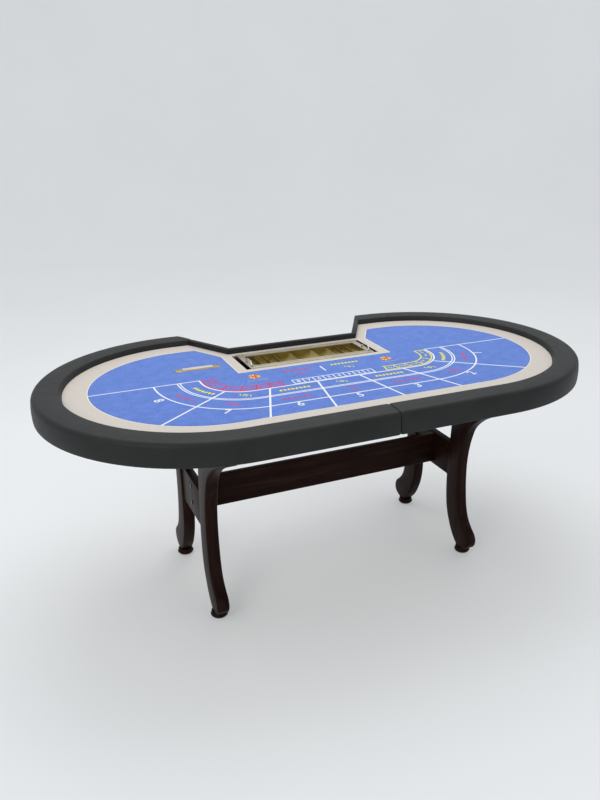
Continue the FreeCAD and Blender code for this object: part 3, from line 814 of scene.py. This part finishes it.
def cloth_and_print():
    sheet = cloth_sheet()
    goes_with = []
    ink_layer("print_white", white_print(), WHITE_INK, goes_with, 0.00004)
    rosette_red, rosette_yellow, rosette_orange, faint = rosette_parts()
    ink_layer("print_red", red_print() + rosette_red, RED_INK, goes_with)
    ink_layer("print_yellow", yellow_print(), YELLOW_INK, goes_with)
    ink_layer("print_petals_yellow", rosette_yellow, YELLOW_INK, goes_with, 0.0001)
    ink_layer("print_petals_orange", rosette_orange, ORANGE_INK, goes_with, 0.0001)
    ink_layer("print_fine_rows", faint, FAINT_INK, goes_with)
    ink_layer("print_rose", rose_print(), ROSE_INK, goes_with)
    tidy(sheet)
    fitted(sheet, "playing_cloth", CLOTH, "table", ["cloth"], 20)


# ---------------------------------------------------------------- chip tray
POCKET_HALF, POCKET_Y = 0.2393, (0.113, 0.243)
NARROW = 0.0406               # a trough for one row of chips
LIP_WIDE, LIP_HIGH = 0.006, 0.0014
LUG_X, LUG_Y = 0.252, (0.1046, 0.1704)


def flat_frame(low, high, opening, edge):
    """A flat rectangular frame round an opening, its top edges eased."""
    nothing_selected()
    centre, size = (low + high) / 2, high - low
    bpy.ops.mesh.primitive_plane_add(size=1, location=(centre.x, centre.y, high.z))
    ring = settle((size.x, size.y, 1))
    pick("FACE", lambda f: True)
    start = 0.25 * size.y
    bpy.ops.mesh.inset(thickness=start)
    bpy.ops.mesh.delete(type="ONLY_FACE")
    pick("VERT", lambda v: abs(v.co.x - centre.x) < size.x / 2 - 1e-4)
    (x0, x1), (y0, y1) = opening
    bpy.ops.transform.resize(value=((x1 - x0) / (size.x - 2 * start), (y1 - y0) / (size.y - 2 * start), 1),
                             center_override=(centre.x, centre.y, high.z))
    bpy.ops.transform.translate(value=((x0 + x1) / 2 - centre.x, (y0 + y1) / 2 - centre.y, 0))
    bpy.ops.object.mode_set(mode="OBJECT")
    thicken(ring, size.z)
    tidy(ring)
    ease(edge, 3, lambda e: is_sharp(e, 60) and middle(e).z > high.z - 1e-4)
    return ring


def tray_frame():
    """Pale metal rim: a flange with a raised lip round the troughs and a raised outer edge."""
    low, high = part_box("tray_rim")
    pocket = ((-POCKET_HALF, POCKET_HALF), POCKET_Y)
    flange = flat_frame(low, high, pocket, 0.0008)
    up = Vector((0, 0, LIP_HIGH))
    around = Vector((POCKET_HALF + LIP_WIDE, 0, 0))
    lip = flat_frame(Vector((-around.x, POCKET_Y[0] - LIP_WIDE, high.z - 0.0005)),
                     Vector((around.x, POCKET_Y[1] + LIP_WIDE, high.z)) + up, pocket, 0.0007)
    border = ((low.x + 0.0035, high.x - 0.0035), (low.y + 0.0035, high.y - 0.0035))
    edge = flat_frame(Vector((low.x, low.y, high.z - 0.0005)), high + up * 0.5, border, 0.0005)
    rim = joined([flange, lip, edge])
    fitted(rim, "chip_tray_rim", CHAMPAGNE, "tray", ["tray_rim"])


def tray_insert():
    """Gold insert: a row of round-bottomed troughs with thin ridges between them."""
    widths = [NARROW] * 3 + [0.070, 0.095, 0.070] + [NARROW] * 3
    half, (front, back) = sum(widths) / 2, POCKET_Y
    ridge_z, depth, ridge = 0.808, 0.020, 0.0020
    flat = ridge / 2 * 0.9
    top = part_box("tray_troughs")[1].z
    profile = [(-half, top), (-half, ridge_z + 0.0002)]
    x = -half
    for width in widths:
        chord = width / 2 - ridge / 2
        radius = (chord ** 2 + depth ** 2) / (2 * depth)
        sweep = math.asin(min(1.0, chord / radius))
        if radius < depth:
            sweep = math.pi - sweep
        steps = 14
        for k in range(steps + 1):
            t = -sweep + 2 * sweep * k / steps
            up = ridge_z - depth + radius - radius * math.cos(t)
            profile.append((x + width / 2 + radius * math.sin(t), up))
        profile[-1] = (x + width - flat, ridge_z)
        x += width
        if x < half - 1e-4:
            profile.append((x + flat, ridge_z))
    profile += [(half, ridge_z + 0.0002), (half, top)]
    nothing_selected()
    bpy.ops.mesh.primitive_plane_add(size=1, location=(0, (front + back) / 2, 0))
    insert = settle((0.001, back - front, 1))
    bpy.ops.object.mode_set(mode="EDIT")
    shape = bmesh.from_edit_mesh(insert.data)
    shape.verts.ensure_lookup_table()
    for v in shape.verts:
        first = v.co.x < 0
        v.co.x, v.co.z = profile[0] if first else profile[1]
    bmesh.update_edit_mesh(insert.data)
    pick("EDGE", lambda e: abs(middle(e).z - profile[1][1]) < 1e-5 and along(e, 1))
    for a, b in zip(profile[1:], profile[2:]):
        pull(b[0] - a[0], 0, b[1] - a[1])
    bpy.ops.object.mode_set(mode="OBJECT")
    tidy(insert)
    for y in (front, back):
        pick("EDGE", lambda e: e.is_boundary and abs(middle(e).y - y) < 1e-5 and not along(e, 1))
        pull(0, 0, 0)
        bpy.ops.transform.resize(value=(1, 1, 0), center_override=(0, y, top))
    tidy(insert)
    floor_faces = [f for f in insert.data.polygons if abs(f.normal.z) > 0.9]
    if sum(f.normal.z for f in floor_faces) < 0:
        bpy.ops.object.mode_set(mode="EDIT")
        bpy.ops.mesh.select_all(action="SELECT")
        bpy.ops.mesh.flip_normals()
        bpy.ops.object.mode_set(mode="OBJECT")
    thicken(insert, 0.0022)
    fitted(insert, "chip_tray_troughs", GOLD, "tray", ["tray_troughs"], 32)


def tray_lug_set():
    """Four small blocks with round tops that hold the wire bails."""
    lugs = []
    for side in (-1, 1):
        for y in LUG_Y:
            x = side * LUG_X
            lug = slab((x - 0.0045, y - 0.002, 0.816), (x + 0.0045, y + 0.002, 0.8245))
            ease(0.0038, 5, lambda e: along(e, 1) and middle(e).z > 0.82)
            ease(0.0004, 2, lambda e: is_sharp(e, 60) and middle(e).z > 0.8163)
            lugs.append(lug)
    piece = joined(lugs)
    tidy(piece)
    fitted(piece, "bail_lugs", CHAMPAGNE, "tray", ["tray_lugs"])


# ---------------------------------------------------------------- drop slot
SLOT_HALF = (0.054, 0.003)
SCREW_X, SCREW_Y, SCREW_R = 0.073, 0.009, 0.0036


def drop_slot():
    low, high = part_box("slot_plate")
    x, y = (low.x + high.x) / 2, (low.y + high.y) / 2
    plate = slab(tuple(low), tuple(high))
    ease(0.004, 4, lambda e: along(e, 2))
    slot = slab((x - SLOT_HALF[0], y - SLOT_HALF[1], low.z - 0.01),
                (x + SLOT_HALF[0], y + SLOT_HALF[1], high.z + 0.01))
    cut_out(plate, slot)
    tidy(plate)
    ease(0.0006, 2, lambda e: is_sharp(e, 60) and middle(e).z > high.z - 1e-4)
    fitted(plate, "drop_slot_plate", BRASS, "table", ["slot_plate"])

    heads = []
    for sx in (-1, 1):
        for sy in (-1, 1):
            mx, my = x + sx * SCREW_X, y + sy * SCREW_Y
            nothing_selected()
            bpy.ops.mesh.primitive_cylinder_add(vertices=24, radius=SCREW_R, depth=0.0012,
                                                location=(mx, my, high.z - 0.0001))
            head = settle()
            ease(0.0004, 2, lambda e: is_sharp(e, 60) and middle(e).z > high.z)
            for turn in (0.3 + sx * 0.5, 0.3 + sx * 0.5 + QUARTER):
                nothing_selected()
                bpy.ops.mesh.primitive_cube_add(size=1, location=(mx, my, high.z + 0.0005),
                                                rotation=(0, 0, turn), scale=(0.0042, 0.0009, 0.0012))
                cut_out(head, settle())
            heads.append(head)
    piece = joined(heads)
    fitted(piece, "slot_screw_heads", BRASS, "table", ["slot_screws"])

    low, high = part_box("drop_paddle")
    head_low = high.z - 0.003
    head = slab((low.x, low.y, head_low), tuple(high))
    ease(0.0035, 4, lambda e: along(e, 2))
    ease(0.0011, 3, lambda e: is_sharp(e, 60) and middle(e).z > high.z - 1e-4)
    blade = slab((x - 0.051, y - 0.0015, low.z), (x + 0.051, y + 0.0015, head_low + 0.0005))
    ease(0.0006, 2)
    piece = joined([head, blade])
    fitted(piece, "cash_paddle", ACRYLIC, "paddle", ["drop_paddle"])


# ---------------------------------------------------------------- trestle base
LEG_OUTER = [(.262, .024), (.289, .038), (.302, .064), (.296, .090), (.267, .118), (.243, .146), (.227, .184),
             (.215, .250), (.209, .330), (.211, .400), (.220, .456), (.234, .506), (.256, .556), (.296, .599),
             (.352, .638), (.480, .702)]
LEG_INNER = [(.230, .746), (.196, .700), (.160, .640), (.142, .560), (.134, .480), (.128, .400), (.124, .310),
             (.125, .250), (.130, .192), (.140, .148), (.158, .106), (.181, .067), (.203, .042), (.224, .024)]
FRAME_X, LEG_HALF = 0.528, 0.023


def legs():
    """A scroll leg cut from a thick board, its long edges rounded over, copied to four places."""
    nothing_selected()
    bpy.ops.curve.primitive_bezier_curve_add()
    outline = bpy.context.object
    data = outline.data
    data.dimensions, data.fill_mode, data.resolution_u = "2D", "BOTH", 5
    data.splines.clear()
    spline = data.splines.new("BEZIER")
    corners = LEG_OUTER + [(.488, .708), (.488, .746)] + LEG_INNER
    spline.bezier_points.add(len(corners) - 1)
    sharp = {0, len(LEG_OUTER) - 1, len(LEG_OUTER), len(LEG_OUTER) + 1, len(LEG_OUTER) + 2, len(corners) - 1}
    for i, (point, place) in enumerate(zip(spline.bezier_points, corners)):
        point.co = (*place, 0)
        kind = "VECTOR" if i in sharp else "AUTO"
        point.handle_left_type = point.handle_right_type = kind
    spline.use_cyclic_u = True
    over = 0.008
    data.extrude, data.bevel_depth, data.bevel_resolution, data.offset = LEG_HALF - over, over, 3, -over
    bpy.ops.object.convert(target="MESH")
    board = bpy.context.object
    board.rotation_euler = (QUARTER, 0, QUARTER)
    board.location = (0, 0, 0)
    settle()
    tidy(board)
    for side, label in ((-1, "left"), (1, "right")):
        for end, place in ((-1, "front"), (1, "back")):
            leg = copied(board, flip_y=end < 0, shift=(side * FRAME_X, 0, 0))
            fitted(leg, "scroll_leg_" + place + "_" + label, WALNUT_UP, "table",
                   ["leg_" + place + "_" + label], 30)
    bpy.data.objects.remove(board)


FOOT_Y = 0.238
FOOT_RADII = (0.0275, 0.0308, 0.0320, 0.0317, 0.0290, 0.0272, 0.0287, 0.0278)


def feet():
    """A turned foot with a bead and a groove, on a glide."""
    nothing_selected()
    bpy.ops.mesh.primitive_cylinder_add(vertices=64, radius=0.0290, depth=0.021, end_fill_type="NGON",
                                        location=(0, 0, 0.0135))
    foot = settle()
    pick("FACE", lambda f: f.normal.z > 0.9)
    bpy.ops.mesh.inset(thickness=0.0001)
    bpy.ops.object.mode_set(mode="OBJECT")
    pick("EDGE", lambda e: along(e, 2))
    bpy.ops.mesh.subdivide(number_cuts=6)
    bpy.ops.object.mode_set(mode="OBJECT")
    rings = sorted({round(v.co.z, 5) for v in foot.data.vertices})
    for z, radius in zip(rings, FOOT_RADII):
        for v in foot.data.vertices:
            reach = math.hypot(v.co.x, v.co.y)
            if abs(v.co.z - z) < 1e-4 and reach > 0.0285:
                v.co.x, v.co.y = v.co.x * radius / reach, v.co.y * radius / reach
    only(foot)
    smooth = foot.modifiers.new("turned", "SUBSURF")
    smooth.levels = smooth.render_levels = 1
    bpy.ops.object.modifier_apply(modifier=smooth.name)
    for side, label in ((-1, "left"), (1, "right")):
        for end, place in ((-1, "front"), (1, "back")):
            one = copied(foot, shift=(side * FRAME_X, end * FOOT_Y, 0))
            fitted(one, "turned_foot_" + place + "_" + label, WALNUT_LONG, "table",
                   ["foot_" + place + "_" + label], 60)
    bpy.data.objects.remove(foot)


def boards():
    """Cross boards, stretcher and top rails, with rounded-over edges."""
    for side, label in ((-1, "left"), (1, "right")):
        x = side * FRAME_X
        board = slab((x - 0.016, -0.132, 0.306), (x + 0.016, 0.132, 0.450))
        ease(0.003, 3)
        fitted(board, "cross_piece_" + label, WALNUT_ACROSS, "table", ["cross_board_" + label])
        rail = slab((x - 0.025, -0.440, 0.746), (x + 0.025, 0.440, 0.786))
        ease(0.002, 2)
        fitted(rail, "top_bearer_" + label, WALNUT_ACROSS, "table", ["top_rail_" + label])
    low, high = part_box("stretcher_board")
    board = slab(tuple(low), tuple(high))
    ease(0.003, 3)
    fitted(board, "long_stretcher", WALNUT_LONG, "table", ["stretcher_board"])


# ---------------------------------------------------------------- carried-over parts
CARRIED = {
    "band_panel": LAMINATE, "cloth_trim": INLAY, "deck_board": PLY, "armrest_core_left": PLY,
    "armrest_core_right": PLY, "batten_front": PLY, "batten_middle": PLY, "tray_bail_left": CHROME,
    "tray_bail_right": CHROME, "tray_ledge_front": ZINC, "tray_ledge_back": ZINC, "armrest_bolts": ZINC,
    "rail_bolts": ZINC, "leg_screws": ZINC, "foot_studs": ZINC, "barrel_nuts": ZINC, "tray_well": BLACK_PAINT,
    "drop_chute": BLACK_PAINT, "cross_bolts": BRONZE, "glides": GLIDE,
}


def carried_parts():
    for node, finish in CARRIED.items():
        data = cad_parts[node].data
        data.materials.clear()
        data.materials.append(finish)


# ---------------------------------------------------------------- studio
def studio_floor():
    """A wide pale floor that curves up into a low wall all round."""
    nothing_selected()
    flat, curve, steps = 7.5, 3.5, 14
    bpy.ops.mesh.primitive_circle_add(vertices=128, radius=flat, fill_type="NOTHING", location=(0, 0, 0))
    floor = settle()
    pick("VERT", lambda v: True)
    out, up = flat, 0.0
    for k in range(1, steps + 1):
        t = QUARTER * k / steps
        next_out, next_up = flat + curve * math.sin(t), curve * (1 - math.cos(t))
        pull(0, 0, next_up - up)
        bpy.ops.transform.resize(value=(next_out / out, next_out / out, 1), center_override=(0, 0, 0))
        out, up = next_out, next_up
    pull(0, 0, 2.5)
    pick("EDGE", lambda e: e.is_boundary and middle(e).z < 0.001)
    bpy.ops.mesh.edge_face_add()
    bpy.ops.object.mode_set(mode="OBJECT")
    bpy.ops.object.shade_smooth_by_angle(angle=math.radians(60))
    floor.name = "studio_floor"
    f = Finish("studio grey", (0.59, 0.60, 0.605), 0.6, specular=0.2)
    f.color(f.blend(f.noise(0.6, 3), [(0.3, (0.575, 0.585, 0.590)), (0.7, (0.600, 0.610, 0.615))]))
    f.also(Emission_Color=(0.955, 0.98, 1.0, 1), Emission_Strength=0.25)
    floor.data.materials.append(f.made)


def softbox(name, place, aim, size, power, color=(1, 1, 1)):
    data = bpy.data.lights.new(name, "AREA")
    data.shape, data.size, data.size_y, data.energy, data.color = "RECTANGLE", *size, power, color
    lamp = bpy.data.objects.new(name, data)
    bpy.context.scene.collection.objects.link(lamp)
    lamp.location = place
    lamp.rotation_euler = (Vector(aim) - Vector(place)).to_track_quat("-Z", "Y").to_euler()


def studio_light():
    world = bpy.data.worlds.new("studio")
    bpy.context.scene.world = world
    world.use_nodes = True
    sky = world.node_tree.nodes["Background"]
    sky.inputs["Color"].default_value = (0.70, 0.718, 0.735, 1)
    sky.inputs["Strength"].default_value = 1.0
    softbox("overhead", (0.4, 1.2, 4.0), (0, 0, 0.8), (3.6, 2.6), 60)
    softbox("key", (-3.4, -2.4, 3.0), (0, 0, 0.7), (2.2, 2.2), 40)
    bpy.context.scene.view_settings.view_transform = "Standard"


def studio_camera():
    data = bpy.data.cameras.new("camera")
    camera = bpy.data.objects.new("camera", data)
    bpy.context.scene.collection.objects.link(camera)
    bpy.context.scene.camera = camera
    yaw, pitch, roll = 0.44077, 0.35197, 0.00303
    forward = Vector((math.sin(yaw) * math.cos(pitch), math.cos(yaw) * math.cos(pitch), -math.sin(pitch)))
    camera.location = (-1.1629, -2.5948, 1.7428)
    camera.rotation_mode = "QUATERNION"
    tilt = forward.to_track_quat("-Z", "Y").to_matrix()
    right, up = tilt.col[0], tilt.col[1]
    new_right = right * math.cos(roll) + up * math.sin(roll)
    new_up = up * math.cos(roll) - right * math.sin(roll)
    camera.rotation_quaternion = Matrix((new_right, new_up, -forward)).transposed().to_quaternion()
    data.sensor_width, data.lens = 36.0, 35.03
    data.shift_x, data.shift_y = -0.0473, -0.0068


armrest_pad(-1)
armrest_pad(1)
bay_rails()
cloth_and_print()
tray_frame()
tray_insert()
tray_lug_set()
drop_slot()
legs()
feet()
boards()
carried_parts()
studio_floor()
studio_light()
studio_camera()
